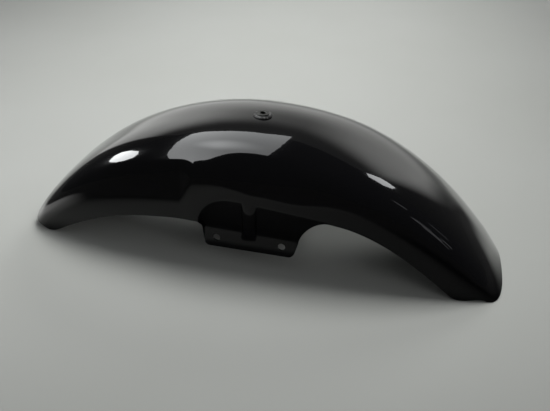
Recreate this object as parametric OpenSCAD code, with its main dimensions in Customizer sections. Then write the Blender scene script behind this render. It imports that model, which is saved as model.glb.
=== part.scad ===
// Front mudguard of a motorcycle: one pressed steel shell that arches over the wheel.
// Millimetres, +Z up. The shell rests on its two ends on the floor plane Z = 0.
// X runs along its length, Y across it. The origin is the middle of its footprint.
// Each side has a joggled panel with a half-round bead, and a flat bolt tab below it.
// A rubber grommet and a flanged steel bush sit in the hole on the crown.

/* [Crown and section] */
// outer radius of the crown, seen from the side
crown_r = 343; // [330:1:360]
// height of the crown over the floor
crown_h = 165.6; // [158:0.2:172]
// angle from the top of the arch to the left end
end_l = 55.8; // [54:0.2:57]
// angle from the top of the arch to the right end
end_r = 58.4; // [56.5:0.1:59]
// how far the right end reaches past that arc
reach_r = 4; // [0:0.5:6]
// half of the width at the middle of the arch
half_w = 87.5; // [82:0.5:94]
// share of the width lost at the left end
taper_l = 0.37; // [0.2:0.01:0.45]
// share of the width lost at the right end
taper_r = 0.33; // [0.2:0.01:0.45]
// squareness of the shoulder, 2 is an ellipse
square = 3.1; // [2.4:0.1:3.6]
// share of the skirt depth taken by the rounded crown, middle
round_mid = 0.53; // [0.45:0.01:0.6]
// the same share at the ends
round_end = 0.45; // [0.35:0.01:0.55]
// slope of the side above the upright band, degrees
side_slope = 9; // [0:0.5:14]
// thickness of the sheet
sheet = 1.5; // [1.2:0.1:2]

/* [Upright band] */
// share of the skirt depth above the upright band, left half
wall_l = 0.77; // [0.68:0.01:0.8]
// the same share, right half
wall_r = 0.7; // [0.62:0.01:0.76]
// the same share at the ends
wall_end = 0.42; // [0.4:0.01:0.6]
// drop from the crown to the upright band at the left of the tab
wall_tab = 41; // [37:0.5:45]
// the same drop at the middle and the right of the tab
wall_mid = 52; // [46:0.5:56]
// middle of the crease where the bulge over the tab begins
crease_x = -66.5; // [-70:0.5:-63]
// width of that crease
crease_w = 20; // [14:1:24]
// the bulge starts to fade here, going right
fade_a = 25; // [18:1:38]
// and is gone here
fade_b = 95; // [83:1:108]
// how far the bulge stands out
bulge = 1; // [0.5:0.5:3]

/* [Skirt edges] */
// height of the left skirt edge where it meets the tab
skirt_l = 70; // [64:1:74]
// where the left skirt edge meets the tab
skirt_l_in = -51; // [-53:0.5:-49]
// where the left skirt edge comes down to the floor
skirt_l_out = -257; // [-264:1:-247]
// height of the right skirt edge where it meets the tab
skirt_r = 89; // [84:1:93]
// where the right skirt edge leaves the arch of the tab
skirt_r_in = 93; // [88:1:96]
// where the right skirt edge comes down to the floor
skirt_r_out = 235; // [226:1:242]
// fullness of the left skirt curve
skirt_l_pow = 2.25; // [1.9:0.05:2.5]
// fullness of the right skirt curve
skirt_r_pow = 1.7; // [1.5:0.05:2]
// rounding of the left end corners, degrees of the arch
corner_l = 2; // [1:0.25:3]
// rounding of the right end corners, degrees of the arch
corner_r = 7; // [4:0.25:8.5]

/* [Joggle and tab] */
// top of the joggle fold over the floor
fold_z = 104.5; // [100:0.5:108]
// left end of the joggle fold
fold_x = -52.5; // [-54:0.5:-51.5]
// width of the rounded left end of the fold
fold_w = 34; // [28:1:38]
// height of the rounded left end of the fold
fold_h = 34.5; // [30:0.5:36]
// where the fold runs out into the right skirt edge
fold_out = 92.7; // [88:0.5:96]
// height of the fold over the floor there
fold_out_z = 92; // [88:0.5:96]
// height of the bend between panel and tab
bend_z = 52; // [48:0.5:56]
// outer face of each tab, out from the middle
tab_y = 71; // [68:0.5:76]
// lower edge of the tab over the floor
tab_z = 27.5; // [22:0.5:30]
// left end of that lower edge
tab_l = -51.3; // [-52.5:0.1:-49]
// right end of that lower edge
tab_r = 52.7; // [49:0.5:56]
// lean of the left edge of the tab, width over height
lean_l = 0.03; // [0.02:0.01:0.1]
// lean of the right edge of the tab, width over height
lean_r = 0.28; // [0.2:0.01:0.34]
// height at which the right edge turns into the arch
arch_z = 46; // [42:1:52]
// width of that arch
arch_w = 36; // [30:1:40]
// left bolt hole along the tab
hole_l = -37.5; // [-40:0.5:-35]
// right bolt hole along the tab
hole_r = 39.2; // [36:0.5:42]
// bolt holes over the floor
hole_z = 40; // [38:0.5:43]
// width of a bolt hole
hole_d = 8.5; // [8.2:0.1:9]

/* [Bead] */
// middle of the half-round bead at its top
bead_x = 5.7; // [2:0.5:8.5]
// lean of the bead, width over height
bead_lean = 0.1; // [0:0.01:0.16]
// half of the width of the bead
bead_w = 8.5; // [7:0.5:10]
// top of the bead over the floor
bead_top = 94; // [90:0.5:97]
// rounded foot of the bead over the floor
bead_foot = 44; // [42:0.5:46]

/* [Crown fitting] */
// position of the fitting along the mudguard
fit_x = -1.3; // [-8:0.5:4]
// hole in the crown for the grommet
fit_hole = 16; // [14:0.5:18]
// width of the grommet
grommet_d = 23; // [21:0.5:26]
// height of each grommet lip
lip_h = 2.6; // [2:0.1:3.4]
// width of the flange of the bush
flange_d = 14.5; // [13:0.5:16]
// thickness of that flange
flange_h = 1; // [0.8:0.1:1.4]
// outside of the bush
bush_d = 9; // [8.5:0.1:10]
// bore of the bush
bore_d = 6.4; // [6:0.1:7]
// round faces are made with this many sides
round_n = 64; // [48:4:96]

/* [Hidden] */
black = [0.03, 0.03, 0.035];
rubber = [0.08, 0.08, 0.08];
steel = [0.62, 0.62, 0.60];
// centre of the crown arc, so that the two ends stand equally far from X = 0
arc_x = -(crown_r * sin(end_r) + reach_r - crown_r * sin(end_l)) / 2;
arc_z = crown_h - crown_r;
// sections stand upright this far from the top, then fan out towards the ends
fan_from = 16;
fan_end = 38;
// least depth that shapes the section near an end
least_depth = 38;
// length of the soft landing of a skirt edge on the floor
toe = 3;
// rounding of the joggle folds, as a share of the panel height
knee = 0.035;
// length of a tool that goes right through the sheet
through = 6 * sheet;

// smooth step from 0 to 1
function ease(a, b, x) = let (t = max(0, min(1, (x - a) / (b - a)))) t * t * (3 - 2 * t);
function mix(a, b, t) = a + (b - a) * t;
function within(v, a, b) = max(a, min(b, v));

// lower edge of the plain skirt, height at a place along the length
function skirt_left(x) =
    skirt_l * (1 - pow(1 - within((x - skirt_l_out) / (skirt_l_in - skirt_l_out), -0.3, 1), skirt_l_pow));
function skirt_right(x) =
    skirt_r * (1 - pow(within((x - skirt_r_in) / (skirt_r_out - skirt_r_in), 0, 1.3), skirt_r_pow));
function skirt_raw(x) =
    x < skirt_l_in ? skirt_left(x)
    : x > skirt_r_in ? skirt_right(x)
    : mix(skirt_l, skirt_r, ease(skirt_l_in, skirt_r_in, x));
function skirt(x) = let (z = skirt_raw(x)) (z + sqrt(z * z + 4 * toe * toe)) / 2 - toe / 5;

// outline of the tab: flat bottom, leaning sides, rounded corners and the arch on the right
arch_x = tab_r + (arch_z - tab_z) * lean_r;
function arch(x) =
    let (u = within((arch_x + arch_w - x) / arch_w, 0, 1))
    arch_z + (skirt_r - arch_z) * pow(1 - u * u, 0.7);
function corner(d) = d > -5 && d < 3 ? tab_z + 0.126 * (d + 5) * (d + 5) : tab_z;
function tab_edge(x) = max(
    tab_z,
    tab_z + (tab_l - x) / lean_l,
    x > arch_x ? arch(x) : tab_z + (x - tab_r) / lean_r,
    corner(tab_l - x),
    corner(x - tab_r));
function low_edge(x) = min(skirt(x), tab_edge(x));

// the fold where the panel leaves the outer side
fold_mid = fold_x + fold_w + 10;
function fold(x) =
    x < fold_x ? fold_z - fold_h
    : x < fold_x + fold_w ? let (u = 1 - (x - fold_x) / fold_w)
        fold_z - fold_h * (1 - pow(1 - pow(u, 1.8), 1 / 1.8))
    : x < fold_mid ? fold_z
    : mix(fold_z, fold_out_z, pow((x - fold_mid) / (fold_out - fold_mid), 1.15));
function bend(x) = bend_z - 0.03 * x;

// share of the way from the outer side to the tab plane, at a place on the side
function knee_up(t) = abs(t) < 0.4 ? (t + sqrt(t * t + knee * knee)) / 2 : max(t, 0);
function panel_share(x, z) =
    let (
        r = within((fold(x) - z) / (fold(x) - bend(x)), -0.5, 1.5),
        a = ease(fold_x - 1.5, fold_x + 1, x) * (1 - ease(fold_out - 3, fold_out + 10, x))
    )
    a * within(1 - knee_up(1 - knee_up(r)), 0, 1);
function bead_share(z) =
    let (t = within((bead_top - z) / (bead_top - bead_foot), 0, 1))
    0.35 * t + 0.65 * (1 - sqrt(1 - t * t));
function inward(x, z) =
    let (
        p = panel_share(x, z),
        u = abs(x - bead_x + bead_lean * (bead_top - z)) / bead_w,
        q = bead_share(z)
    )
    u < 1 && q < p ? mix(p, q, sqrt(1 - u * u)) : p;

// the section at an angle of the arch: crown place, fan direction and share of the half arch
function fan(t) =
    let (e = t < 0 ? end_l : end_r)
    abs(t) <= fan_from ? 0
    : sign(t) * fan_end * pow((abs(t) - fan_from) / (e - fan_from), 1.2);
function reach(t) = t > fan_from ? reach_r * pow((t - fan_from) / (end_r - fan_from), 3) : 0;
function top_x(t) = arc_x + crown_r * sin(t) + reach(t);
function top_z(t) = arc_z + crown_r * cos(t);
function share(t) = t < 0 ? -t / end_l : t / end_r;
function width(t) = half_w * (1 - (t < 0 ? taper_l : taper_r) * share(t) * share(t));

// drop from the crown to an edge curve, found by a few rounds of correction
function skirt_drop(t, d, n) =
    n == 0 ? d
    : skirt_drop(t, (top_z(t) - skirt(top_x(t) - d * sin(fan(t)))) / cos(fan(t)), n - 1);
function edge_drop(t, d, n) =
    n == 0 ? d
    : edge_drop(t, (top_z(t) - low_edge(top_x(t) - d * sin(fan(t)))) / cos(fan(t)), n - 1);

function bulge_share(t) =
    ease(crease_x - crease_w / 2, crease_x + crease_w / 2, top_x(t)) * (1 - ease(fade_a, fade_b, top_x(t)));

// one section as a list of [drop, squareness share] from the crown to the lower edge
crown_steps = [0, 9, 20, 32, 44, 58, 73, 90];
function wall_steps(bu, f, b, d) =
    let (
        g = min(2, 0.1 * (d - bu)),
        l1 = min(f, mix(bu, d, 0.6)),
        l2 = min(b, mix(l1, d, 0.7))
    )
    concat(
        [for (k = [1:2]) mix(bu, l1 - g, k / 2)],
        [l1, l1 + g],
        [for (k = [1:4]) mix(l1 + g, l2 - g, k / 4)],
        [l2, l2 + g],
        [for (k = [1:3]) mix(l2 + g, d, k / 3)]);
wall_count = 13;
half_count = len(crown_steps) + wall_count;

// place on the outer side: angle, and step number j from the crown to the lower edge
function spot(t, j) =
    let (
        s = share(t),
        x = top_x(t),
        z = top_z(t),
        f = fan(t),
        ds = max(skirt_drop(t, 40, 9), least_depth),
        w = bulge_share(t),
        bu = ds * mix(round_mid, round_end, s * s),
        bs = ds * mix(mix(wall_l, wall_r, ease(fold_x, skirt_r_in, x)), wall_end, s * s),
        bv = mix(bs, mix(wall_tab, wall_mid, ease(fold_x + 12, bead_x + bead_w, x)), w),
        d_edge = max(edge_drop(t, 40, 9), bu + 1),
        crown = j < len(crown_steps),
        q = crown ? crown_steps[j] : 90,
        e = 2 / square,
        d = crown ? bu * (1 - (q == 90 ? 0 : pow(cos(q), e)))
            : wall_steps(bu, abs(t) > fan_from ? d_edge : z - fold(x), abs(t) > fan_from ? d_edge : z - bend(x),
                d_edge)[j - len(crown_steps)],
        m = q == 0 ? 0 : pow(sin(q), e),
        lean = tan(side_slope) * ((bv - d) + sqrt((bv - d) * (bv - d) + 16)) / 2,
        y = m * (width(t) - lean + bulge * w * ease(bv * 0.3, bv * 1.1, d)),
        px = x - d * sin(f),
        pz = z - d * cos(f)
    )
    [px, crown ? y : mix(y, tab_y, inward(px, pz)), pz];

// the end rows are swung back towards the lower edge, which rounds the corners
side_steps = wall_steps(0, 1, 1, 1);
function swing(j) =
    let (v = j < 8 ? 0.11 * j : mix(0.77, 1, side_steps[j - 8]))
    1 - sqrt(1 - v * v);
function swung(t, j) =
    t + corner_l * swing(j) * max(0, 1 - (t + end_l) / 8) - corner_r * swing(j) * max(0, 1 - (end_r - t) / 18);

// angles of the sections, close together where the side is detailed
function at_x(x) = asin((x - arc_x) / crown_r);
tab_foot = tab_l - (skirt_l - tab_z) * lean_l;
places = concat(
    [for (k = [0:4]) mix(crease_x - crease_w / 2, tab_foot - 1.5, k / 5)],
    [for (k = [0:6]) mix(tab_foot - 1.5, tab_l + 1, k / 7)],
    [for (k = [0:5]) mix(tab_l + 1, fold_x + fold_w, pow(k / 6, 1.3))],
    [for (k = [0:2]) mix(fold_x + fold_w, bead_x - bead_w - 6, k / 3)],
    [for (k = [0:10]) mix(bead_x - bead_w - 6, bead_x + bead_w + 1, k / 11)],
    [for (k = [0:3]) mix(bead_x + bead_w + 1, tab_r - 5, k / 4)],
    [for (k = [0:5]) mix(tab_r - 5, arch_x + 1, k / 6)],
    [for (k = [0:6]) mix(arch_x + 1, fold_out + 4, pow(k / 7, 1.4))]);
first_in = at_x(crease_x - crease_w / 2);
last_in = at_x(fold_out + 4);
angles = concat(
    [-end_l, -end_l + 1.2, -end_l + 3],
    [for (k = [1:8]) mix(-end_l + 3, first_in, k / 9)],
    [for (x = places) at_x(x)],
    [for (k = [0:8]) mix(last_in, end_r - 3, k / 9)],
    [end_r - 3, end_r - 1.2, end_r]);
rows = len(angles);
half_rows = [for (t = angles) [for (j = [0:half_count - 1]) spot(swung(t, j), j)]];

// full rows run from the near lower edge over the crown to the far lower edge
cols = 2 * half_count - 1;
outer = [for (r = half_rows) [for (j = [0:cols - 1])
    j < half_count - 1 ? let (p = r[half_count - 1 - j]) [p[0], -p[1], p[2]]
    : r[j - half_count + 1]]];

// inner side: each point moved by the sheet thickness against the local normal
function unit(v) = v / norm(v);
function facing(i, j) = unit(cross(
    outer[min(i + 1, rows - 1)][j] - outer[max(i - 1, 0)][j],
    outer[i][min(j + 1, cols - 1)] - outer[i][max(j - 1, 0)]));
inner = [for (i = [0:rows - 1]) [for (j = [0:cols - 1]) outer[i][j] - sheet * facing(i, j)]];
function id(i, j) = i * cols + j;
layer = rows * cols;

module shell() {
    points = concat([for (r = outer) each r], [for (r = inner) each r]);
    skin = [for (i = [0:rows - 2]) for (j = [0:cols - 2]) each [
        [id(i, j), id(i, j + 1), id(i + 1, j + 1)],
        [id(i, j), id(i + 1, j + 1), id(i + 1, j)]]];
    back = [for (f = skin) [layer + f[0], layer + f[2], layer + f[1]]];
    ends = [for (j = [0:cols - 2]) each [
        [id(0, j + 1), id(0, j), layer + id(0, j)],
        [id(0, j + 1), layer + id(0, j), layer + id(0, j + 1)],
        [id(rows - 1, j), id(rows - 1, j + 1), layer + id(rows - 1, j + 1)],
        [id(rows - 1, j), layer + id(rows - 1, j + 1), layer + id(rows - 1, j)]]];
    sides = [for (i = [0:rows - 2]) each [
        [id(i, 0), id(i + 1, 0), layer + id(i + 1, 0)],
        [id(i, 0), layer + id(i + 1, 0), layer + id(i, 0)],
        [id(i + 1, cols - 1), id(i, cols - 1), layer + id(i, cols - 1)],
        [id(i + 1, cols - 1), layer + id(i, cols - 1), layer + id(i + 1, cols - 1)]]];
    polyhedron(points = points, faces = concat(skin, back, ends, sides));
}

// frame of the crown fitting: its axis is square to the crown there
fit_t = at_x(fit_x);
fit_z = top_z(fit_t);
module at_fitting() {
    translate([fit_x, 0, fit_z])
        rotate([0, fit_t, 0])
            children();
}

module mudguard() {
    color(black)
        difference() {
            shell();
            for (x = [hole_l, hole_r])
                for (s = [-1, 1])
                    translate([x, s * tab_y, hole_z])
                        rotate([90, 0, 0])
                            cylinder(h = through, d = hole_d, center = true, $fn = round_n);
            at_fitting()
                cylinder(h = through, d = fit_hole, center = true, $fn = round_n);
        }
}

// rubber ring with a rounded lip above and below the sheet
module crown_grommet() {
    r = grommet_d / 2;
    groove_r = fit_hole / 2 - 0.15;
    color(rubber)
        at_fitting()
            rotate_extrude($fn = round_n)
                polygon([
                    [bush_d / 2 + 0.05, -sheet - lip_h],
                    [r - 1.4, -sheet - lip_h],
                    [r - 0.4, -sheet - lip_h * 0.7],
                    [r, -sheet - lip_h * 0.35],
                    [r - 0.6, -sheet - 0.3],
                    [groove_r, -sheet - 0.25],
                    [groove_r, 0.2],
                    [r - 0.6, 0.3],
                    [r, lip_h * 0.35],
                    [r - 0.4, lip_h * 0.7],
                    [r - 1.4, lip_h],
                    [bush_d / 2 + 0.05, lip_h]]);
}

// flanged bush pressed into the grommet from above
module crown_collar() {
    color(steel)
        at_fitting()
            difference() {
                union() {
                    translate([0, 0, lip_h])
                        cylinder(h = flange_h, d = flange_d, $fn = round_n);
                    translate([0, 0, -sheet - lip_h])
                        cylinder(h = sheet + 2 * lip_h + flange_h, d = bush_d, $fn = round_n);
                }
                translate([0, 0, -sheet - lip_h - 1])
                    cylinder(h = sheet + 2 * lip_h + flange_h + 2, d = bore_d, $fn = round_n);
            }
}

mudguard();
crown_grommet();
crown_collar();
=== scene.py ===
# %% [markdown]
# # A gloss black front mudguard
#
# The real thing is one pressing of sheet steel: a crown that arches over the wheel, two
# skirts, and on each side a joggled panel with a stiffening bead that ends in a flat tab
# with two bolt holes. A rubber grommet and a steel bush sit in a hole on the crown.
#
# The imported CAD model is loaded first. It fixes every size and place, in metres. Blender
# only adds what the eye needs: a finer skin, paint, rubber, plating, a floor and light.

# %% Load the frame
import math

import bmesh
import bpy
from mathutils import Matrix, Vector


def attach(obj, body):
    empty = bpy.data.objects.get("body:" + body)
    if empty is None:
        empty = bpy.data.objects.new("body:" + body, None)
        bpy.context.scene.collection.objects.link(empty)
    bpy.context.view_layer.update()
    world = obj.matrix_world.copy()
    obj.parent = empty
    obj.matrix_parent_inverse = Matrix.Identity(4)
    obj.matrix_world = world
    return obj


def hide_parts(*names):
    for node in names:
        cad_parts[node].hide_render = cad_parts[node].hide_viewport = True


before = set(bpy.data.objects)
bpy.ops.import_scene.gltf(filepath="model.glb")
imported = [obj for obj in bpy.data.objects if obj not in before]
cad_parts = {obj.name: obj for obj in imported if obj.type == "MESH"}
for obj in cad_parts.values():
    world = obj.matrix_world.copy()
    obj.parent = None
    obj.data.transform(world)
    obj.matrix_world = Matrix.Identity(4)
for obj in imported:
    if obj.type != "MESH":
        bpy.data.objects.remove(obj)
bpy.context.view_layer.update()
MM = 0.001


# %% [markdown]
# ## The camera
#
# The photograph looks down on the mudguard from the front right. A camera could be placed
# by eye, but the arc of the crown and the two bolt holes pin it down, so its place was
# worked out from them and has odd numbers. A picture 550 wide with a focal length of 647
# picture elements is a 42 mm lens on a 36 mm sensor.

# %% Place the camera
CAMERA_TURN = math.radians(13.15)
CAMERA_RISE = math.radians(32.76)
CAMERA_ROLL = math.radians(1.02)
CAMERA_FAR = 790.1 * MM
CAMERA_AIM = Vector((14.4, 0, 47.65)) * MM
SENSOR_WIDTH, LENS = 36, 42.37


def add_to_scene(name, data):
    obj = bpy.data.objects.new(name, data)
    bpy.context.scene.collection.objects.link(obj)
    return obj


camera_data = bpy.data.cameras.new("camera")
camera_data.sensor_width = SENSOR_WIDTH
camera_data.lens = LENS
camera_data.clip_start, camera_data.clip_end = 0.02, 30
camera = add_to_scene("camera", camera_data)
bpy.context.scene.camera = camera

away = Vector((
    math.sin(CAMERA_TURN) * math.cos(CAMERA_RISE),
    -math.cos(CAMERA_TURN) * math.cos(CAMERA_RISE),
    math.sin(CAMERA_RISE)))
camera.location = CAMERA_AIM + away * CAMERA_FAR
camera.rotation_mode = "QUATERNION"
camera.rotation_quaternion = (
    (-away).to_track_quat("-Z", "Y") @ Matrix.Rotation(CAMERA_ROLL, 3, "Z").to_quaternion())
print("camera at, mm:", [round(v / MM) for v in camera.location])


# %% [markdown]
# ## The pressing, 1: how it is drawn
#
# A sculpted mesh would be quick, but it would never lie on the CAD solid. A presswork
# drawing gives the mudguard by a few curves instead: the arc of the crown, the lower edge
# of the skirt, the outline of the tab, the fold of the joggled panel and the bend above the
# tab. They are drawn here from the same numbers, in millimetres and degrees, that the CAD
# model has, so the fine skin lies on it. In a name, L and R are the left and the right end
# as the lens sees them. Five small helpers are enough for all the curves.

# %% Small helpers for curves
def ease(a, b, x):
    """Soft step from 0 at a to 1 at b."""
    t = max(0, min(1, (x - a) / (b - a)))
    return t * t * (3 - 2 * t)


def mix(a, b, t):
    return a + (b - a) * t


def within(v, a, b):
    return max(a, min(b, v))


def sind(a):
    return math.sin(math.radians(a))


def cosd(a):
    return math.cos(math.radians(a))


print("half way up a soft step:", ease(0, 2, 1))


# %% [markdown]
# ## The pressing, 2: the arc of the crown
#
# The crown follows the wheel, so its middle line is an arc round a centre below the floor.
# A place along it is an angle from the top, to the left below zero. At the right the real
# one runs out a few millimetres longer than its arc. The middle is pressed straight down,
# and towards the ends the sides lean outward like a fan.

# %% Arc of the crown
CROWN_R, CROWN_H = 343, 165.6
END_L, END_R = 55.8, 58.4
REACH_R = 4
FAN_FROM, FAN_END, FAN_POWER = 16, 38, 1.2

# the two ends stand equally far from the middle
ARC_X = -(CROWN_R * sind(END_R) + REACH_R - CROWN_R * sind(END_L)) / 2
ARC_Z = CROWN_H - CROWN_R


def top_x(t):
    reach = REACH_R * ((t - FAN_FROM) / (END_R - FAN_FROM)) ** 3 if t > FAN_FROM else 0
    return ARC_X + CROWN_R * sind(t) + reach


def top_z(t):
    return ARC_Z + CROWN_R * cosd(t)


def at_x(x):
    """The angle at a place along the middle, where the arc has no reach."""
    return math.degrees(math.asin((x - ARC_X) / CROWN_R))


def share(t):
    """0 at the top of the arc and 1 at either end."""
    return -t / END_L if t < 0 else t / END_R


def fan(t):
    if abs(t) <= FAN_FROM:
        return 0
    end = END_L if t < 0 else END_R
    return math.copysign(FAN_END * ((abs(t) - FAN_FROM) / (end - FAN_FROM)) ** FAN_POWER, t)


print("crown runs from x", round(top_x(-END_L), 1), "to", round(top_x(END_R), 1), "mm")


# %% [markdown]
# ## The pressing, 3: the lower edge
#
# An edge is a height above the floor at a place along the length. The skirt is low in the
# middle part and swings down to the floor at both ends, where it levels off in a small toe.
# The tab hangs below it between two leaning edges with rounded corners, and on the right
# an arch leads from the tab back up to the skirt.

# %% Lower edge of the skirt
SKIRT_L, SKIRT_L_IN, SKIRT_L_OUT, SKIRT_L_POW = 70, -51, -257, 2.25
SKIRT_R, SKIRT_R_IN, SKIRT_R_OUT, SKIRT_R_POW = 89, 93, 235, 1.7
TOE = 3


def skirt(x):
    if x < SKIRT_L_IN:
        up = within((x - SKIRT_L_OUT) / (SKIRT_L_IN - SKIRT_L_OUT), -0.3, 1)
        z = SKIRT_L * (1 - (1 - up) ** SKIRT_L_POW)
    elif x > SKIRT_R_IN:
        down = within((x - SKIRT_R_IN) / (SKIRT_R_OUT - SKIRT_R_IN), 0, 1.3)
        z = SKIRT_R * (1 - down ** SKIRT_R_POW)
    else:
        z = mix(SKIRT_L, SKIRT_R, ease(SKIRT_L_IN, SKIRT_R_IN, x))
    # the root never goes below zero, so the curve levels off just above the floor
    return (z + math.sqrt(z * z + 4 * TOE * TOE)) / 2 - TOE / 5


print("skirt at x -200, 0 and 200, mm:", [round(skirt(x), 1) for x in (-200, 0, 200)])

# %% Lower edge of the tab
TAB_Z, TAB_L, TAB_R = 27.5, -51.3, 52.7
LEAN_L, LEAN_R = 0.03, 0.28
CORNER_IN, CORNER_OUT, CORNER_CURVE = 5, 3, 0.126
ARCH_Z, ARCH_W, ARCH_POWER = 46, 36, 0.7
ARCH_X = TAB_R + (ARCH_Z - TAB_Z) * LEAN_R


def arch(x):
    u = within((ARCH_X + ARCH_W - x) / ARCH_W, 0, 1)
    return ARCH_Z + (SKIRT_R - ARCH_Z) * (1 - u * u) ** ARCH_POWER


def tab_corner(d):
    """Height of a rounded corner at a distance past the tab's side edge."""
    return TAB_Z + CORNER_CURVE * (d + CORNER_IN) ** 2 if -CORNER_IN < d < CORNER_OUT else TAB_Z


def tab_edge(x):
    return max(
        TAB_Z,
        TAB_Z + (TAB_L - x) / LEAN_L,
        arch(x) if x > ARCH_X else TAB_Z + (x - TAB_R) / LEAN_R,
        tab_corner(TAB_L - x),
        tab_corner(x - TAB_R))


def low_edge(x):
    return min(skirt(x), tab_edge(x))


print("tab is", round(TAB_R - TAB_L, 1), "mm long and hangs", SKIRT_L - TAB_Z, "mm below the skirt")


# %% [markdown]
# ## The pressing, 4: the joggled panel and its bead
#
# Below a sharp fold the panel steps in from the outer side to the plane of the tab, and the
# bend above the tab ends that step. It could be a separate plate, but the real one is drawn
# from the same sheet. So each place on the side gets a share: 0 is the outer side and 1 the
# plane of the tab. The bead is a rib pressed through the step, and on it the share is less.

# %% Fold above the panel and bend below it
FOLD_Z, FOLD_X, FOLD_W, FOLD_H, FOLD_ROUND = 104.5, -52.5, 34, 34.5, 1.8
FOLD_OUT, FOLD_OUT_Z, FOLD_SAG = 92.7, 92, 1.15
FOLD_MID = FOLD_X + FOLD_W + 10
BEND_Z, BEND_FALL = 52, 0.03


def fold(x):
    if x < FOLD_X:
        return FOLD_Z - FOLD_H
    if x < FOLD_X + FOLD_W:
        u = 1 - (x - FOLD_X) / FOLD_W
        return FOLD_Z - FOLD_H * (1 - (1 - u ** FOLD_ROUND) ** (1 / FOLD_ROUND))
    if x < FOLD_MID:
        return FOLD_Z
    return mix(FOLD_Z, FOLD_OUT_Z, ((x - FOLD_MID) / (FOLD_OUT - FOLD_MID)) ** FOLD_SAG)


def bend(x):
    return BEND_Z - BEND_FALL * x


print("fold and bend at x 0, mm:", round(fold(0), 1), round(bend(0), 1))

# %% Share of the panel
KNEE, KNEE_REACH = 0.035, 0.4
PANEL_L_FROM, PANEL_L_TO = FOLD_X - 1.5, FOLD_X + 1
PANEL_R_FROM, PANEL_R_TO = FOLD_OUT - 3, FOLD_OUT + 10


def knee_up(t):
    """max(t, 0) with its corner rounded, as sheet steel bends round a radius."""
    return (t + math.sqrt(t * t + KNEE * KNEE)) / 2 if abs(t) < KNEE_REACH else max(t, 0)


def panel_share(x, z):
    down = within((fold(x) - z) / (fold(x) - bend(x)), -0.5, 1.5)
    along = ease(PANEL_L_FROM, PANEL_L_TO, x) * (1 - ease(PANEL_R_FROM, PANEL_R_TO, x))
    return along * within(1 - knee_up(1 - knee_up(down)), 0, 1)


print("share half way down the panel:", round(panel_share(0, (fold(0) + bend(0)) / 2), 2))

# %% Share of the bead
BEAD_X, BEAD_LEAN, BEAD_W = 5.7, 0.1, 8.5
BEAD_TOP, BEAD_FLUSH, BEAD_FOOT = 94, 91, 44
BEAD_STRAIGHT = 0.86


def bead_share(z):
    """The bead's face stays flush with the outer side, then slopes like the panel."""
    t = within((BEAD_FLUSH - z) / (BEAD_FLUSH - BEAD_FOOT), -0.5, 1)
    return BEAD_STRAIGHT * knee_up(t) + (1 - BEAD_STRAIGHT) * (1 - math.sqrt(1 - max(t, 0) ** 2))


def inward(x, z):
    """Share of the way from the outer side to the plane of the tab."""
    p, q = panel_share(x, z), bead_share(z)
    u = abs(x - BEAD_X + BEAD_LEAN * (BEAD_TOP - z)) / BEAD_W
    return mix(p, q, math.sqrt(1 - u * u)) if u < 1 and q < p else p


print("bead stands out by", round(panel_share(20, 70) - inward(3.3, 70), 2), "of the step at z 70")


# %% [markdown]
# ## The pressing, 5: its cross-section
#
# At each angle of the arch the sheet has a section: a crown that is squarer than an
# ellipse, a side that slopes a little, and an upright band down to the lower edge. Above
# the tab the band starts higher and stands out a little, which makes the crease on the
# left. A section could be a list of points, but then a change of one size would need a new
# list, so it is worked out from a few drops below the crown.

# %% Width, drops and the sloping side
HALF_W, TAPER_L, TAPER_R = 87.5, 0.37, 0.33
CREASE_X, CREASE_W = -66.5, 20
FADE_FROM, FADE_TO = 25, 95
SIDE_SLOPE, SLOPE_SOFT = 9, 16
FIRST_DROP, DROP_TRIES = 40, 9


def width(t):
    return HALF_W * (1 - (TAPER_L if t < 0 else TAPER_R) * share(t) ** 2)


def drop_to(edge, t):
    """Drop from the crown to an edge curve, found by correcting a first guess."""
    d = FIRST_DROP
    for _ in range(DROP_TRIES):
        d = (top_z(t) - edge(top_x(t) - d * sind(fan(t)))) / cosd(fan(t))
    return d


def bulge_share(t, half=CREASE_W / 2):
    """1 above the tab, where the side stands out, and 0 on the plain parts."""
    x = top_x(t)
    return ease(CREASE_X - half, CREASE_X + half, x) * (1 - ease(FADE_FROM, FADE_TO, x))


def lean_in(band, drop):
    """How far the sloping side leans in at a drop above the upright band."""
    up = band - drop
    return math.tan(math.radians(SIDE_SLOPE)) * (up + math.sqrt(up * up + SLOPE_SOFT)) / 2


print("half width at the ends and the middle, mm:", [round(width(t), 1) for t in (-END_L, 0, END_R)])

# %% Section at an angle of the arch
ROUND_MID, ROUND_END = 0.53, 0.45
WALL_L, WALL_R, WALL_END = 0.77, 0.7, 0.42
WALL_TAB, WALL_MID = 41, 52
LEAST_DEPTH = 38
BULGE, BULGE_FROM, BULGE_TO = 1, 0.3, 1.1
SMOOTH_HALF, SMOOTH_FROM, SMOOTH_TO = 45, 18, 40
TAB_Y, TAB_LEAN, HOLE_Z = 71, 0.06, 40


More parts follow.
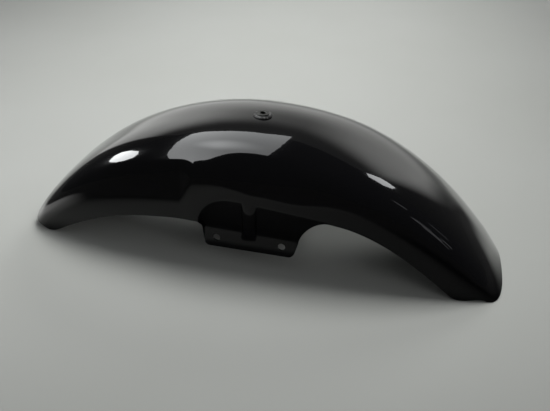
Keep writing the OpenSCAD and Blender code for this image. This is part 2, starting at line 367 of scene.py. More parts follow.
class Section:
    """The drops that shape the side at one angle."""

    def __init__(self, t):
        s, self.x, self.z = share(t), top_x(t), top_z(t)
        self.lean_x, self.lean_z = sind(fan(t)), cosd(fan(t))
        self.width, self.bulge = width(t), bulge_share(t)
        depth = max(drop_to(skirt, t), LEAST_DEPTH)
        self.crown = depth * mix(ROUND_MID, ROUND_END, s * s)
        plain = mix(WALL_L, WALL_R, ease(FOLD_X, SKIRT_R_IN, self.x))
        plain = depth * mix(plain, WALL_END, s * s)
        by_tab = mix(WALL_TAB, WALL_MID, ease(FOLD_X + 12, BEAD_X + BEAD_W, self.x))
        self.band = mix(plain, by_tab, self.bulge)
        # the shoulder above the crease is smooth: it takes the same change more slowly
        self.shoulder_band = mix(plain, by_tab, bulge_share(t, SMOOTH_HALF))
        self.edge = max(drop_to(low_edge, t), self.crown + 1)
        plain_end = abs(t) > FAN_FROM
        self.fold = self.edge if plain_end else self.z - fold(self.x)
        self.bend = self.edge if plain_end else self.z - bend(self.x)

    def point(self, across, drop, on_crown):
        low_down = ease(SMOOTH_FROM, SMOOTH_TO, drop)
        lean = mix(lean_in(self.shoulder_band, drop), lean_in(self.band, drop), low_down)
        out = self.bulge * BULGE * ease(self.band * BULGE_FROM, self.band * BULGE_TO, drop)
        y = across * (self.width - lean + out)
        x, z = self.x - drop * self.lean_x, self.z - drop * self.lean_z
        if not on_crown:
            # the tab leans out a little, so it mirrors the floor further out than the panel
            tab_y = TAB_Y + TAB_LEAN * (HOLE_Z - min(z, bend(x)))
            y = mix(y, tab_y, inward(x, z))
        return x, y, z


middle = Section(0)
print("drops in the middle, mm:", round(middle.crown), round(middle.fold), round(middle.edge))


# %% [markdown]
# ## The pressing, 6: points down a section
#
# Even steps would cut the corner off every bend. So the steps are close together where the
# sheet turns sharply, at the fold and at the bend. The crown's curve is a superellipse, an
# ellipse with fuller shoulders, and its steps are at even angles seen from its centre.

# %% Steps down a section
SQUARE = 3.1
CROWN_COUNT, SIDE_COUNT, KNEE_COUNT, PANEL_COUNT, TAB_COUNT = 30, 8, 6, 12, 9
WALL_TOTAL = SIDE_COUNT + KNEE_COUNT + PANEL_COUNT + KNEE_COUNT + TAB_COUNT
HALF_COUNT = CROWN_COUNT + 1 + WALL_TOTAL
KNEE_MOST, KNEE_PART = 3, 0.12
FOLD_PART, BEND_PART = 0.6, 0.7


def crown_step(k):
    """(share of the width, share of the crown's drop) at step k."""
    if k in (0, CROWN_COUNT):
        return sind(90 * k / CROWN_COUNT), k / CROWN_COUNT
    a = math.radians(90 * k / CROWN_COUNT)
    r = (math.sin(a) ** SQUARE + math.cos(a) ** SQUARE) ** (-1 / SQUARE)
    return r * math.sin(a), 1 - r * math.cos(a)


def wall_drops(top, fold_drop, bend_drop, low):
    """Drops below the crown. Without a fold or a bend the stops keep their usual part."""
    g = min(KNEE_MOST, KNEE_PART * (low - top))
    at_fold = min(fold_drop, mix(top, low, FOLD_PART))
    at_bend = min(bend_drop, mix(at_fold, low, BEND_PART))
    stops = [top, at_fold - g, at_fold + g, at_bend - g, at_bend + g, low]
    counts = [SIDE_COUNT, KNEE_COUNT, PANEL_COUNT, KNEE_COUNT, TAB_COUNT]
    return [
        mix(a, b, k / n)
        for a, b, n in zip(stops, stops[1:], counts)
        for k in range(1, n + 1)]


print("half a section has", HALF_COUNT, "points")

# %% [markdown]
# The four corners of the pressing are rounded. A corner could be cut off afterwards, but
# then the rim would lose its even spacing. Instead each point near an end takes its place
# from a slightly smaller angle, more so the nearer it is to the lower edge.

# %% One half section
CORNER_L, CORNER_L_FROM = 2, 8
CORNER_R, CORNER_R_FROM = 7, 18
CROWN_PART = 0.77
SIDE_STEPS = wall_drops(0, 1, 1, 1)


def swing(t, j):
    """The angle that point j of the section at t is taken from."""
    if j <= CROWN_COUNT:
        v = CROWN_PART * j / CROWN_COUNT
    else:
        v = mix(CROWN_PART, 1, SIDE_STEPS[j - CROWN_COUNT - 1])
    s = 1 - math.sqrt(max(0, 1 - v * v))
    from_left = max(0, 1 - (t + END_L) / CORNER_L_FROM)
    from_right = max(0, 1 - (END_R - t) / CORNER_R_FROM)
    return t + CORNER_L * s * from_left - CORNER_R * s * from_right


def half_section(t):
    """Points from the middle of the crown to the lower edge."""
    known = {}
    points = []
    for j in range(HALF_COUNT):
        swung = round(swing(t, j), 5)
        if swung not in known:
            sec = Section(swung)
            known[swung] = (sec, wall_drops(sec.crown, sec.fold, sec.bend, sec.edge))
        sec, drops = known[swung]
        if j <= CROWN_COUNT:
            across, down = crown_step(j)
            points.append(sec.point(across, sec.crown * down, True))
        else:
            points.append(sec.point(1, drops[j - CROWN_COUNT - 1], False))
    return points


print("lower corner at the right, mm:", [round(v) for v in half_section(END_R)[-1]])


# %% [markdown]
# ## The pressing, 7: sections along the length
#
# Along the length the sections are close together where the tab's leaning edges, the bead
# and the arch need them, and wide apart on the plain ends. That keeps the mesh well below
# its limit and still gives a clean edge where the eye looks.

# %% Angles of the sections
def run(a, b, n, power=1):
    return [mix(a, b, (k / n) ** power) for k in range(n)]


tab_foot = TAB_L - (SKIRT_L - TAB_Z) * LEAN_L
places = (
    run(CREASE_X - CREASE_W / 2, tab_foot - 1.5, 14)
    + run(tab_foot - 1.5, TAB_L + 1.5, 22)
    + run(TAB_L + 1.5, FOLD_X + FOLD_W, 20, 1.2)
    + run(FOLD_X + FOLD_W, BEAD_X - BEAD_W - 6, 8)
    + run(BEAD_X - BEAD_W - 6, BEAD_X + BEAD_W + 1, 34)
    + run(BEAD_X + BEAD_W + 1, TAB_R - 5, 18)
    + run(TAB_R - 5, ARCH_X + 1, 16)
    + run(ARCH_X + 1, FOLD_OUT + 4, 26, 1.3))
angles = (
    run(-END_L, -END_L + 3, 6)
    + run(-END_L + 3, at_x(places[0]), 34)
    + [at_x(x) for x in places]
    + run(at_x(FOLD_OUT + 4), END_R - 3, 36)
    + run(END_R - 3, END_R, 7) + [END_R])
half_rows = [half_section(t) for t in angles]
print(len(angles), "sections of", 2 * HALF_COUNT - 1, "points")


# %% [markdown]
# ## The pressing, 8: one closed skin
#
# Each half section is mirrored to the other side. The inner skin is the outer one moved in
# by the thickness of the sheet, square to it. A solidify modifier would do nearly the same,
# but here the rim is wanted as a row of its own points.

# %% Outer skin and inner skin
SHEET = 1.5
COLUMNS = 2 * HALF_COUNT - 1
outer = [
    [Vector((p[0], -p[1], p[2])) * MM for p in reversed(row[1:])] + [Vector(p) * MM for p in row]
    for row in half_rows]
ROWS = len(outer)


def facing(i, j):
    along = outer[min(i + 1, ROWS - 1)][j] - outer[max(i - 1, 0)][j]
    across = outer[i][min(j + 1, COLUMNS - 1)] - outer[i][max(j - 1, 0)]
    return along.cross(across).normalized()


inner = [
    [outer[i][j] - facing(i, j) * SHEET * MM for j in range(COLUMNS)]
    for i in range(ROWS)]

skin = bmesh.new()
top = [[skin.verts.new(p) for p in row] for row in outer]
under = [[skin.verts.new(p) for p in row] for row in inner]
for i in range(ROWS - 1):
    for j in range(COLUMNS - 1):
        skin.faces.new((top[i][j], top[i + 1][j], top[i + 1][j + 1], top[i][j + 1]))
        skin.faces.new((under[i][j], under[i][j + 1], under[i + 1][j + 1], under[i + 1][j]))
print("two skins:", len(skin.faces), "faces")

# %% [markdown]
# A trimmed and painted edge is never sharp, and a thin line of light along it tells the eye
# that the sheet has a thickness. So the rim is closed with three extra rows of points that
# are pushed out of the sheet, most in the middle.

# %% Close the rim with a rounded edge
RIM_BULGE = 0.35 * MM
# share of the thickness, and how far the point is pushed out there
RIM_STATIONS = ((0.22, RIM_BULGE * 0.72), (0.5, RIM_BULGE), (0.78, RIM_BULGE * 0.72))
loop = (
    [(i, 0) for i in range(ROWS - 1)]
    + [(ROWS - 1, j) for j in range(COLUMNS - 1)]
    + [(i, COLUMNS - 1) for i in range(ROWS - 1, 0, -1)]
    + [(0, j) for j in range(COLUMNS - 1, 0, -1)])


def rim_points(n):
    """Three points across the rim at place n of the loop."""
    i, j = loop[n]
    a, b = top[i][j].co, under[i][j].co
    before, after = loop[n - 1], loop[(n + 1) % len(loop)]
    along = top[after[0]][after[1]].co - top[before[0]][before[1]].co
    out = along.cross(b - a).normalized()
    return [a.lerp(b, station) + out * push for station, push in RIM_STATIONS]


rim = [[skin.verts.new(p) for p in rim_points(n)] for n in range(len(loop))]
for n, (i, j) in enumerate(loop):
    m = (n + 1) % len(loop)
    k, l = loop[m]
    chain = [top[i][j], *rim[n], under[i][j]]
    following = [top[k][l], *rim[m], under[k][l]]
    for a, b, c, d in zip(chain, chain[1:], following[1:], following):
        skin.faces.new((a, b, c, d))
bmesh.ops.recalc_face_normals(skin, faces=skin.faces)

guard_mesh = bpy.data.meshes.new("guard_shell")
skin.to_mesh(guard_mesh)
skin.free()
guard = add_to_scene("guard_shell", guard_mesh)
print("shell:", len(guard_mesh.polygons), "faces")


# %% [markdown]
# ## The pressing, 9: holes
#
# The bolt holes and the grommet hole are punched through the finished sheet, so they are
# cut here the same way: round cutters and a boolean modifier, which is then applied. The
# cutters are thrown away, as the slugs are.

# %% Cutters for the holes
HOLES, HOLE_D = (-37.5, 39.2), 8.5
FIT_X, FIT_HOLE = -1.3, 16
FIT_TURN = at_x(FIT_X)
FIT_PLACE = (FIT_X, 0, top_z(FIT_TURN))
FIT_AIM = (sind(FIT_TURN), 0, cosd(FIT_TURN))
CUTTER_DEPTH, CUTTER_SIDES = 12, 64


def stand_at(place, aim):
    """Turns a shape drawn along Z to a new aim and moves it to a place in mm."""
    turn = Vector(aim).to_track_quat("Z", "Y").to_matrix().to_4x4()
    return Matrix.Translation(Vector(place) * MM) @ turn


def cutter(name, width_mm, place, aim):
    tool = bmesh.new()
    bmesh.ops.create_cone(
        tool, cap_ends=True, segments=CUTTER_SIDES, radius1=width_mm / 2 * MM,
        radius2=width_mm / 2 * MM, depth=CUTTER_DEPTH * MM)
    mesh = bpy.data.meshes.new(name)
    tool.to_mesh(mesh)
    tool.free()
    obj = add_to_scene(name, mesh)
    obj.matrix_world = stand_at(place, aim)
    return obj


cutters = [
    cutter("bolt_hole", HOLE_D, (x, side * TAB_Y, HOLE_Z), (0, side, 0))
    for x in HOLES for side in (-1, 1)]
cutters.append(cutter("grommet_hole", FIT_HOLE, FIT_PLACE, FIT_AIM))
print(len(cutters), "cutters")

# %% Punch the holes and shade the sheet
SHARP_FOLD = math.radians(50)

for tool in cutters:
    cut = guard.modifiers.new("punch", "BOOLEAN")
    cut.object, cut.operation, cut.solver = tool, "DIFFERENCE", "EXACT"
bpy.context.view_layer.update()
punched = bpy.data.meshes.new_from_object(
    guard.evaluated_get(bpy.context.evaluated_depsgraph_get()))
guard.modifiers.clear()
guard.data = punched
for tool in cutters:
    bpy.data.objects.remove(tool)
for face in guard.data.polygons:
    face.use_smooth = True
guard.data.set_sharp_from_angle(angle=SHARP_FOLD)
print("punched shell:", len(guard.data.polygons), "faces")

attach(guard, "root")
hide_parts("mudguard")


# %% [markdown]
# ## Tools for finishes
#
# Every finish is a node tree round one Principled shader. A few helpers keep the trees
# short to read: one adds a node, one a sum or a product, and three make the steps that come
# back in every finish, a soft step, a noise in object coordinates and a bump from it.
# Object coordinates need no unwrapping.

# %% Materials and nodes
def new_material(name, base, roughness):
    material = bpy.data.materials.new(name)
    material.use_nodes = True
    shader = material.node_tree.nodes["Principled BSDF"]
    shader.inputs["Base Color"].default_value = (*base, 1)
    shader.inputs["Roughness"].default_value = roughness
    print("finish:", name)
    return material, material.node_tree, shader


def node(tree, kind, **values):
    made = tree.nodes.new(kind)
    for name, value in values.items():
        if name in made.inputs:
            made.inputs[name].default_value = value
        else:
            setattr(made, name, value)
    return made


def maths(tree, operation, a, b=0.0):
    """One sum of two numbers or sockets."""
    made = node(tree, "ShaderNodeMath", operation=operation)
    for socket, value in zip(made.inputs, (a, b)):
        if isinstance(value, (int, float)):
            socket.default_value = value
        else:
            tree.links.new(value, socket)
    return made.outputs["Value"]


def add(tree, a, b):
    return maths(tree, "ADD", a, b)


def less(tree, a, b):
    return maths(tree, "SUBTRACT", a, b)


def times(tree, a, b):
    return maths(tree, "MULTIPLY", a, b)


# %% Soft steps, noise and bump
def spread(tree, value, low, high, kind="LINEAR", start=0.0, stop=1.0):
    """Maps a socket that runs from start to stop onto low to high."""
    made = node(tree, "ShaderNodeMapRange", interpolation_type=kind)
    limits = (("From Min", start), ("From Max", stop), ("To Min", low), ("To Max", high))
    for name, limit in limits:
        made.inputs[name].default_value = limit
    tree.links.new(value, made.inputs["Value"])
    return made.outputs["Result"]


def step(tree, value, start, stop, low=0.0, high=1.0):
    """Soft step of a socket, from low at start to high at stop."""
    return spread(tree, value, low, high, "SMOOTHSTEP", start, stop)


def noise(tree, place, scale, detail):
    made = node(tree, "ShaderNodeTexNoise", Scale=scale, Detail=detail)
    tree.links.new(place, made.inputs["Vector"])
    return made.outputs["Fac"]


def bump(tree, height, strength, distance):
    made = node(tree, "ShaderNodeBump", Strength=strength, Distance=distance)
    tree.links.new(height, made.inputs["Height"])
    return made.outputs["Normal"]


def blend_colours(tree, share, a, b):
    made = node(tree, "ShaderNodeMix", data_type="RGBA")
    made.inputs["A"].default_value = (*a, 1)
    made.inputs["B"].default_value = (*b, 1)
    tree.links.new(share, made.inputs["Factor"])
    return made.outputs["Result"]


def object_place(tree):
    return node(tree, "ShaderNodeTexCoord").outputs["Object"]


def x_y_z(tree, place):
    made = node(tree, "ShaderNodeSeparateXYZ")
    tree.links.new(place, made.inputs["Vector"])
    return made.outputs


# %% [markdown]
# ## Gloss black paint
#
# Stove enamel with a clear coat: nearly black and mirror smooth. A plain glossy black would
# give the same at a glance, but a dark base under a clear coat keeps the mirror sharp and
# lets the base vary below it. The base itself hardly shines, so all the shine is the coat's.

# %% Enamel and clear coat
ENAMEL_BLACK = (0.0021, 0.0021, 0.0025)

paint, tree, shader = new_material("black_enamel", ENAMEL_BLACK, 0.12)
shader.inputs["Specular IOR Level"].default_value = 0.05
shader.inputs["Coat Weight"].default_value = 1
shader.inputs["Coat Roughness"].default_value = 0.02
shader.inputs["Coat IOR"].default_value = 1.5
guard.data.materials.clear()
guard.data.materials.append(paint)

# %% [markdown]
# Every sprayed panel has orange peel, soft dimples a few millimetres across. They are far
# too shallow to model, so a weak bump bends the reflection instead. Handling also leaves a
# little more or less gloss from place to place.

# %% Orange peel and haze
PEEL_SIZE, PEEL_STRENGTH, PEEL_DEPTH = 260.0, 0.02, 0.0005
HAZE_SIZE, HAZE_GLOSS, HAZE_DULL = 9.0, 0.08, 0.2

place = object_place(tree)
peel = bump(tree, noise(tree, place, PEEL_SIZE, 1.0), PEEL_STRENGTH, PEEL_DEPTH)
tree.links.new(peel, shader.inputs["Normal"])
tree.links.new(peel, shader.inputs["Coat Normal"])
haze = spread(tree, noise(tree, place, HAZE_SIZE, 4.0), HAZE_GLOSS, HAZE_DULL)
tree.links.new(haze, shader.inputs["Roughness"])
print("dimples about", round(1000 / PEEL_SIZE), "mm apart")

# %% [markdown]
# Fine scratches run along the right-hand shoulder, where it was rubbed lengthwise. Each is
# an arc round the centre of the crown, so two sums give it: the radius from that centre and
# the turn round it. A scratch is where the radius is right and the turn is between its ends.

# %% Radius and turn round the centre of the crown
x, y, z = x_y_z(tree, place)
across, up = less(tree, x, ARC_X * MM), less(tree, z, ARC_Z * MM)
turn = maths(tree, "ARCTAN2", across, up)
squares = add(tree, times(tree, across, across), times(tree, up, up))
radius = maths(tree, "POWER", squares, 0.5)
print("centre of the crown at, mm:", round(ARC_X, 1), round(ARC_Z, 1))

# %% Scratches
# radius in mm, turn where it starts and ends, strength
SCRATCHES = (
    (336.2, 28.0, 32.0, 0.5), (334.0, 32.5, 41.0, 1.0), (333.4, 35.0, 43.0, 0.7),
    (335.0, 39.5, 43.5, 0.8), (334.6, 33.0, 38.0, 0.35), (337.2, 36.0, 42.0, 0.3))
SCRATCH_GREY = (0.06, 0.06, 0.063)
SCRATCH_CORE, SCRATCH_RIM = 0.1 * MM, 0.35 * MM

scratched = 0.0
for far_out, start, stop, depth in SCRATCHES:
    gap = maths(tree, "ABSOLUTE", less(tree, radius, far_out * MM))
    a, b = math.radians(start), math.radians(stop)
    drawn = times(tree, step(tree, turn, a, a + 0.03), step(tree, turn, b - 0.01, b, 1.0, 0.0))
    drawn = times(tree, drawn, step(tree, gap, SCRATCH_CORE, SCRATCH_RIM, depth, 0.0))
    scratched = maths(tree, "MAXIMUM", scratched, drawn)
near_side = step(tree, y, -0.05, -0.03, 1.0, 0.0)
scratched = times(tree, scratched, near_side)
enamel = blend_colours(tree, scratched, ENAMEL_BLACK, SCRATCH_GREY)
tree.links.new(enamel, shader.inputs["Base Color"])
print(len(SCRATCHES), "scratches")


# %% [markdown]
# ## Grommet and bush
#
# Both are turned shapes, so each is a profile spun round the axis of the hole. Blender has
# a screw modifier for that, but a profile as plain points is easier to read beside the CAD
# source. The rubber has two soft lips with the sheet between them, and the upper one runs
# out thin on the paint. The bush is a plated steel tube whose flange rests on it.

# %% Spin a profile round the hole's axis
def turned(name, profile, segments=96):
    """profile is a closed list of (radius, height) in mm."""
    body = bmesh.new()
    rings = []
    for r, h in profile:
        turns = [360 * k / segments for k in range(segments)]
        rings.append([body.verts.new((r * cosd(a) * MM, r * sind(a) * MM, h * MM)) for a in turns])
    for n, ring in enumerate(rings):
        after = rings[(n + 1) % len(rings)]
        for k in range(segments):
            m = (k + 1) % segments
            body.faces.new((ring[k], ring[m], after[m], after[k]))
    bmesh.ops.recalc_face_normals(body, faces=body.faces)
    mesh = bpy.data.meshes.new(name)
    body.to_mesh(mesh)
    body.free()
    for face in mesh.polygons:
        face.use_smooth = True
    mesh.set_sharp_from_angle(angle=math.radians(40))
    mesh.transform(stand_at(FIT_PLACE, FIT_AIM))
    print(name, "has", len(mesh.polygons), "faces")
    return add_to_scene(name, mesh)


# %% Rubber grommet
GROMMET_D, LIP_H = 23, 2.6
FLANGE_D, FLANGE_H, BUSH_D, BORE_D = 14.5, 1, 9, 6.4
groove_r, rubber_bore_r = FIT_HOLE / 2 - 0.15, BUSH_D / 2 + 0.05


def lower_lip(outside, start, stop, steps=8):
    """A rounded lip: half a turn out from the bush's side and back."""
    points = []
    for k in range(steps + 1):
        a = 180 * k / steps
        points.append((outside - LIP_H / 2 * (1 - sind(a)) * 0.9, mix(start, stop, (1 - cosd(a)) / 2)))
    return points


def upper_lip(outside, inside, low, high, steps=9):
    """A thin edge on the paint that swells up to the flange."""
    points = [(outside, low)]
    for k in range(steps + 1):
        a = 90 * k / steps
        r = inside + (outside - inside) * cosd(a)
        points.append((r, mix(low + 0.3, high, sind(a) ** 1.6)))
    return points


grommet = turned(
    "grommet_rubber",
    [(rubber_bore_r, -SHEET - LIP_H)]
    + lower_lip(GROMMET_D / 2, -SHEET - LIP_H, -SHEET - 0.3)
    + [(groove_r, -SHEET - 0.25), (groove_r, 0.2)]
    + upper_lip(GROMMET_D / 2 - 0.7, FLANGE_D / 2 + 0.2, 0.2, LIP_H)
    + [(rubber_bore_r, LIP_H)])
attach(grommet, "root")
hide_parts("crown_grommet")

# %% Steel bush
chamfer = 0.25
foot, seat, crest = -SHEET - LIP_H, LIP_H, LIP_H + FLANGE_H
bore_r, bush_r, flange_r = BORE_D / 2, BUSH_D / 2, FLANGE_D / 2

bush = turned("bush_steel", [
    (bore_r, foot + chamfer), (bore_r + chamfer, foot),
    (bush_r - chamfer, foot), (bush_r, foot + chamfer), (bush_r, seat),
    (flange_r - chamfer, seat), (flange_r, seat + chamfer),
    (flange_r, crest - chamfer), (flange_r - chamfer, crest),
    (bore_r + chamfer * 2, crest), (bore_r, crest - chamfer * 2)])
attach(bush, "root")
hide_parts("crown_collar")


# %% [markdown]
# Moulded rubber is matt, with a fine grain, and old rubber holds pale dust in it: a second
# noise, cut off at a level, leaves specks of it. Plating that has seen weather is grey and
# uneven in its shine, so there the noise goes to the roughness.

# %% Rubber
RUBBER_BLACK, DUST_GREY = (0.012, 0.012, 0.012), (0.15, 0.15, 0.145)

rubber, tree, shader = new_material("grommet_rubber", RUBBER_BLACK, 0.5)
place = object_place(tree)
grain = bump(tree, noise(tree, place, 900.0, 3.0), 0.2, 0.0003)
tree.links.new(grain, shader.inputs["Normal"])
specks = step(tree, noise(tree, place, 420.0, 2.0), 0.52, 0.68)
tree.links.new(blend_colours(tree, specks, RUBBER_BLACK, DUST_GREY), shader.inputs["Base Color"])
grommet.data.materials.append(rubber)

# %% Plating
plating, tree, shader = new_material("plated_steel", (0.08, 0.08, 0.077), 0.35)
shader.inputs["Metallic"].default_value = 1
marks = noise(tree, object_place(tree), 500.0, 4.0)
tree.links.new(spread(tree, marks, 0.25, 0.5), shader.inputs["Roughness"])
bush.data.materials.append(plating)


# %% [markdown]
# ## Floor and backdrop
#
# The photograph was taken on a pale paper sweep: a floor that curves up behind. A flat floor
# would end in a hard horizon, so one mesh strip runs from in front of the camera up into
# the wall.

# %% Paper sweep
SWEEP_FRONT, SWEEP_BACK, SWEEP_CURVE, SWEEP_HEIGHT, SWEEP_HALF = -3.5, 1.5, 0.9, 2.6, 4.0
line = [(SWEEP_FRONT, 0.0), (0.0, 0.0), (SWEEP_BACK, 0.0)]
line += [
    (SWEEP_BACK + SWEEP_CURVE * sind(a), SWEEP_CURVE * (1 - cosd(a)))
    for a in range(6, 91, 6)]
line.append((SWEEP_BACK + SWEEP_CURVE, SWEEP_HEIGHT))
paper = bmesh.new()
strip = [[paper.verts.new((x, y, z)) for x in (-SWEEP_HALF, SWEEP_HALF)] for y, z in line]
for a, b in zip(strip, strip[1:]):
    paper.faces.new((a[0], a[1], b[1], b[0]))
floor_mesh = bpy.data.meshes.new("paper_sweep")
paper.to_mesh(floor_mesh)
paper.free()
for face in floor_mesh.polygons:
    face.use_smooth = True
floor = add_to_scene("paper_sweep", floor_mesh)
print("paper:", len(line), "rows, up to", SWEEP_HEIGHT, "m")


# %% [markdown]
# ## Paper, 1: its colour
#
# Paper is matt and not quite even, so a wide noise moves it between two close greys. To the
# lens it is also palest just behind the mudguard and greyer to the front and the sides. That
# falling off is light, and lamps could give it, but then the lamps would have to suit the
# paper before the paint. So it is a painted pool of light in the colour: a number that is 0
# at the palest place and grows outward.

# %% Mottled paper
sheet_paper, tree, shader = new_material("pale_paper", (0.42, 0.43, 0.41), 0.9)
shader.inputs["Specular IOR Level"].default_value = 0.1
place = object_place(tree)
shades = node(tree, "ShaderNodeValToRGB")
shades.color_ramp.elements[0].color = (0.40, 0.41, 0.385, 1)
shades.color_ramp.elements[1].color = (0.44, 0.45, 0.43, 1)
tree.links.new(noise(tree, place, 3.0, 2.0), shades.inputs["Fac"])
floor_mesh.materials.append(sheet_paper)

# %% Painted pool of light: paler behind, greyer outward
LIGHT_POOL_X, LIGHT_POOL_Y = -0.38, 0.11
GREY_SIDEWAYS, GREY_BEHIND, GREY_BEFORE = 1.55, 5.8, 1.05
POOL_MOST, POOL_END, POOL_LEAST = 1.47, 0.2, 0.7

x, y, z = x_y_z(tree, place)
sideways = maths(tree, "DIVIDE", add(tree, x, -LIGHT_POOL_X), GREY_SIDEWAYS)
depth = less(tree, y, LIGHT_POOL_Y)
behind = maths(tree, "DIVIDE", maths(tree, "MAXIMUM", depth), GREY_BEHIND)
before = maths(tree, "DIVIDE", maths(tree, "MINIMUM", depth), GREY_BEFORE)
far = times(tree, sideways, sideways)
for part in (behind, before):
    far = add(tree, far, times(tree, part, part))
far = maths(tree, "POWER", far, 0.5)
# painted light: a pool of light painted into the paper's colour, palest behind the mudguard
painted_light_pool = maths(tree, "MAXIMUM", step(tree, far, 0.0, 1.0, POOL_MOST, POOL_END), POOL_LEAST)
print("palest at, m:", (LIGHT_POOL_X, LIGHT_POOL_Y))


# %% [markdown]
# ## Paper, 2: what the paint mirrors of it
#
# The paint shows how far the paper really reached: its reflection stops in front, and at
# slanting lines on the left and right, and it fades up the wall. A smaller sheet would show
# its edges to the lens as well. So the paper keeps its full colour for the lens, and for
# reflections it has a strength that is faded out past those lines. That strength also holds
# painted light and shade: to the paint the floor in front is darker, darkest where the joggled
# panel mirrors it, and the floor behind is brighter.

# %% Slanting lines at the left and right
EDGE_L, SLANT_L = (-0.50, -0.34), 0.94
EDGE_R, SLANT_R, BOW_R = 0.27, 0.42, 0.02
SOFT_NEAR, SOFT_FAR = 0.06, 0.07

left_line = add(tree, times(tree, y, SLANT_L), x)
slant = add(tree, times(tree, y, BOW_R), SLANT_R)
right_line = add(tree, less(tree, times(tree, y, slant), x), EDGE_R)
# further off, the mirrored line gets softer
soft = add(tree, times(tree, times(tree, y, y), SOFT_FAR), SOFT_NEAR)
edges = times(
    tree, step(tree, left_line, *EDGE_L),
    step(tree, maths(tree, "DIVIDE", right_line, soft), -1.0, 0.0))
print("beside the mudguard the lines cross x at, m:", (EDGE_L, EDGE_R))

# %% Painted shade in front, painted light behind, and height
UNDER_PANEL = (-0.135, -0.124)
FRONT_END = (-0.42, -0.34)
BACK_FROM, BACK_TO, BACK_FAR = -0.06, 0.1, 1.6

# painted shade: the joggled panel mirrors a strip of floor in the mudguard's shade, darkened here
painted_panel_shade = step(tree, y, *UNDER_PANEL, 1.0, 0.25)
beside = step(tree, maths(tree, "ABSOLUTE", x), 0.1, 0.15)
under_panel = maths(tree, "MAXIMUM", painted_panel_shade, beside)
# painted shade: to the paint the floor in front is darker, more so to the right
front = times(tree, step(tree, y, *FRONT_END), under_panel)
front = times(tree, front, step(tree, x, -0.25, 0.25, 0.6, 0.2))
# painted light: to the paint the floor behind is brighter, up to 1.6 times
back = step(tree, y, BACK_FROM, BACK_TO)
reach = add(
    tree, times(tree, back, step(tree, y, BACK_TO, BACK_FAR, 1.15, 1.6)),
    times(tree, front, less(tree, 1, back)))
reach = times(tree, reach, edges)

# the wall fades out with height, later on the right and sooner far to the left
tilt = times(tree, maths(tree, "MAXIMUM", x), -0.3)
rise = times(tree, maths(tree, "MINIMUM", add(tree, x, 1.2)), 0.25)
height = add(tree, z, add(tree, tilt, rise))
reach = times(tree, reach, step(tree, height, 0.7, 1.9, 1.0, 0.1))
print("in front the mirrored floor ends at y", FRONT_END[0], "m")

# %% [markdown]
# Light Path tells the shader which kind of ray is asking. One strength is for reflections
# and one for all other rays, and their sum scales the paper's colour.

# %% Colour by kind of ray
ray = node(tree, "ShaderNodeLightPath")
glossy = ray.outputs["Is Glossy Ray"]
plain = times(tree, less(tree, 1, glossy), painted_light_pool)
strength = add(tree, times(tree, glossy, reach), plain)
faded = node(tree, "ShaderNodeVectorMath", operation="SCALE")
tree.links.new(shades.outputs["Color"], faded.inputs["Vector"])
tree.links.new(strength, faded.inputs["Scale"])
tree.links.new(faded.outputs["Vector"], shader.inputs["Base Color"])
print("paper tree so far:", len(tree.nodes), "nodes")


# %% [markdown]
# ## Paper, 3: its glow
#
# The upright part of the paper was lit brighter, and the paint mirrors it as a bright band.
# More lamps would brighten the mudguard too, so the paper has a painted glow instead, for
# reflections only. The band starts lower down on the left. A patch of floor at the left glows
# as well: a painted highlight that the left end mirrors. Far from the lamps the paper also
# glows a little for the lens, painted light that keeps it bright there.

# %% Painted glow for reflections
WALL_LOW, WALL_HIGH = 0.15, 0.6
PATCH_AT, PATCH_SIZE, PATCH_GLOW = (-0.40, -0.08, 0), (0.05, 0.13), 0.9

leftward = maths(tree, "MAXIMUM", less(tree, -0.4, x))
# painted light: the upright part of the paper glows for reflections
wall = step(tree, add(tree, z, times(tree, leftward, 0.45)), WALL_LOW, WALL_HIGH)
glow = times(tree, times(tree, wall, step(tree, height, 0.9, 1.7, 0.65, 0.05)), edges)
away_from = node(tree, "ShaderNodeVectorMath", operation="LENGTH")
tree.links.new(place, away_from.inputs[0])
glow = add(tree, glow, step(tree, away_from.outputs["Value"], 0.28, 0.42, 0.0, 0.035))
# painted highlight: a glowing patch of floor that the left end mirrors
painted_highlight_patch = node(tree, "ShaderNodeVectorMath", operation="DISTANCE")
painted_highlight_patch.inputs[1].default_value = PATCH_AT
tree.links.new(place, painted_highlight_patch.inputs[0])
glow = add(tree, glow, step(tree, painted_highlight_patch.outputs["Value"], *PATCH_SIZE, PATCH_GLOW, 0.0))
glow = times(tree, glow, glossy)

# %% Painted light for the lens, far from the lamps
# painted light: the far paper glows a little for the lens
far_painted_light = step(tree, away_from.outputs["Value"], 1.1, 3.5, 0.0, 0.38)
glow = add(tree, glow, times(tree, ray.outputs["Is Camera Ray"], far_painted_light))
shader.inputs["Emission Color"].default_value = (1, 1, 0.98, 1)
tree.links.new(glow, shader.inputs["Emission Strength"])
print("paper tree in the end:", len(tree.nodes), "nodes")


# %% [markdown]
# ## Light
#
# A large soft lamp hangs above and a little behind, as in the photograph, where the shadow
# falls to the front. A weaker one behind and one in front keep the shadow from going black.
# None of them shows in the paint: what the paint mirrors is made by itself further down.

# %% Lamps
def soft_lamp(name, place, aim, size, power):
    data = bpy.data.lights.new(name, "AREA")
    data.shape, data.size, data.size_y = "RECTANGLE", size[0], size[1]
    data.energy = power
    lamp = add_to_scene(name, data)
    lamp.location = place
    lamp.rotation_mode = "QUATERNION"
    lamp.rotation_quaternion = (Vector(aim) - Vector(place)).to_track_quat("-Z", "Y")
    lamp.visible_glossy = False
    print(name, power, "W")


soft_lamp("overhead_softbox", (0.45, 0.3, 1.9), (0.0, 0.0, 0.1), (1.1, 0.8), 27)
soft_lamp("rear_softbox", (0.5, 1.5, 1.3), (0.0, 0.0, 0.05), (1.0, 0.6), 10)
soft_lamp("fill_softbox", (1.6, -1.2, 0.9), (0.0, 0.0, 0.05), (0.8, 0.8), 4)

